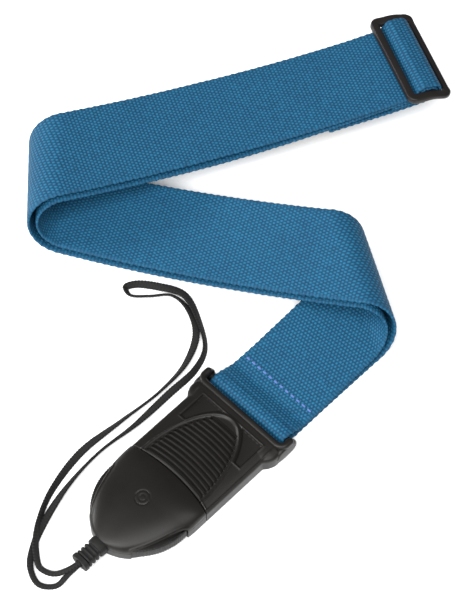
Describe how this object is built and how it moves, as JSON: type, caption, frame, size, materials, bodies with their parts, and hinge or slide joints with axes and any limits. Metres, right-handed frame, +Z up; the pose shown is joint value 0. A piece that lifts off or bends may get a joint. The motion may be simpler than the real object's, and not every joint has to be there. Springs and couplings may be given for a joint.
{
  "type": "webbing instrument strap with side-release buckle",
  "caption": "Wide two-layer webbing strap folded in a Z, with a three-bar slider, a side-release buckle with a domed free half, and a ribbed boot holding a loop of flat tie cord.",
  "frame": {"origin": "on the table, under the middle of the whole part's extent", "axes": "+Z up from the table; +Y along the longest extent, from the tie cord towards the slider end; +X from the upper fold towards the lower fold"},
  "size_m": [0.2126, 0.3086, 0.0314],
  "materials": {
    "webbing": "ribbed weave, matt",
    "thread": "polyester thread, slight sheen",
    "black_plastic": "satin moulded",
    "boot_rubber": "matt",
    "cord": "braided, matt",
    "tab_leather": "smooth grain"
  },
  "bodies": {
    "strap": {"webbing": "webbing", "buckle_stitching": "thread", "hem_stitching": "thread", "tab_stitching": "thread", "end_tab": "tab_leather"},
    "slider": {"slider": "black_plastic"},
    "buckle_half": {"buckle_strap_half": "black_plastic"},
    "left_prong": {"left_prong": "black_plastic"},
    "right_prong": {"right_prong": "black_plastic"},
    "housing": {"housing_top": "black_plastic", "housing_base": "black_plastic", "cord_boot": "boot_rubber", "cord_knot": "cord"},
    "cord": {"tie_cord": "cord"}
  },
  "joints": [
    {"name": "slider_tilt", "type": "hinge", "parent": "strap", "child": "slider", "pos_m": [0.08651, 0.12432, 0.02354], "axis": [-0.3379, 0.9409, -0.023], "range_deg": [-2, 6]},
    {"name": "buckle_swing", "type": "hinge", "parent": "strap", "child": "buckle_half", "pos_m": [0.0039, -0.06554, 0.0041], "axis": [0.7133, -0.7009, 0], "range_deg": [-75, 75]},
    {"name": "left_prong_squeeze", "type": "hinge", "parent": "buckle_half", "child": "left_prong", "pos_m": [-0.02073, -0.112, 0.0043], "axis": [0, 0, -1], "range_deg": [0, 7], "stiffness_Nm_per_rad": 0.2},
    {"name": "right_prong_squeeze", "type": "hinge", "parent": "buckle_half", "child": "right_prong", "pos_m": [-0.04213, -0.09097, 0.0043], "axis": [0, 0, 1], "range_deg": [0, 7], "stiffness_Nm_per_rad": 0.2},
    {"name": "housing_release", "type": "slide", "parent": "buckle_half", "child": "housing", "axis": [-0.7009, -0.7133, 0], "range_m": [0, 0.042]},
    {"name": "cord_swing", "type": "hinge", "parent": "housing", "child": "cord", "pos_m": [-0.07285, -0.14364, 0.0054], "axis": [0, 0, 1], "range_deg": [0, 40]}
  ],
  "couplings": [
    {"joint": "right_prong_squeeze", "follows": "left_prong_squeeze", "ratio": 1}
  ]
}
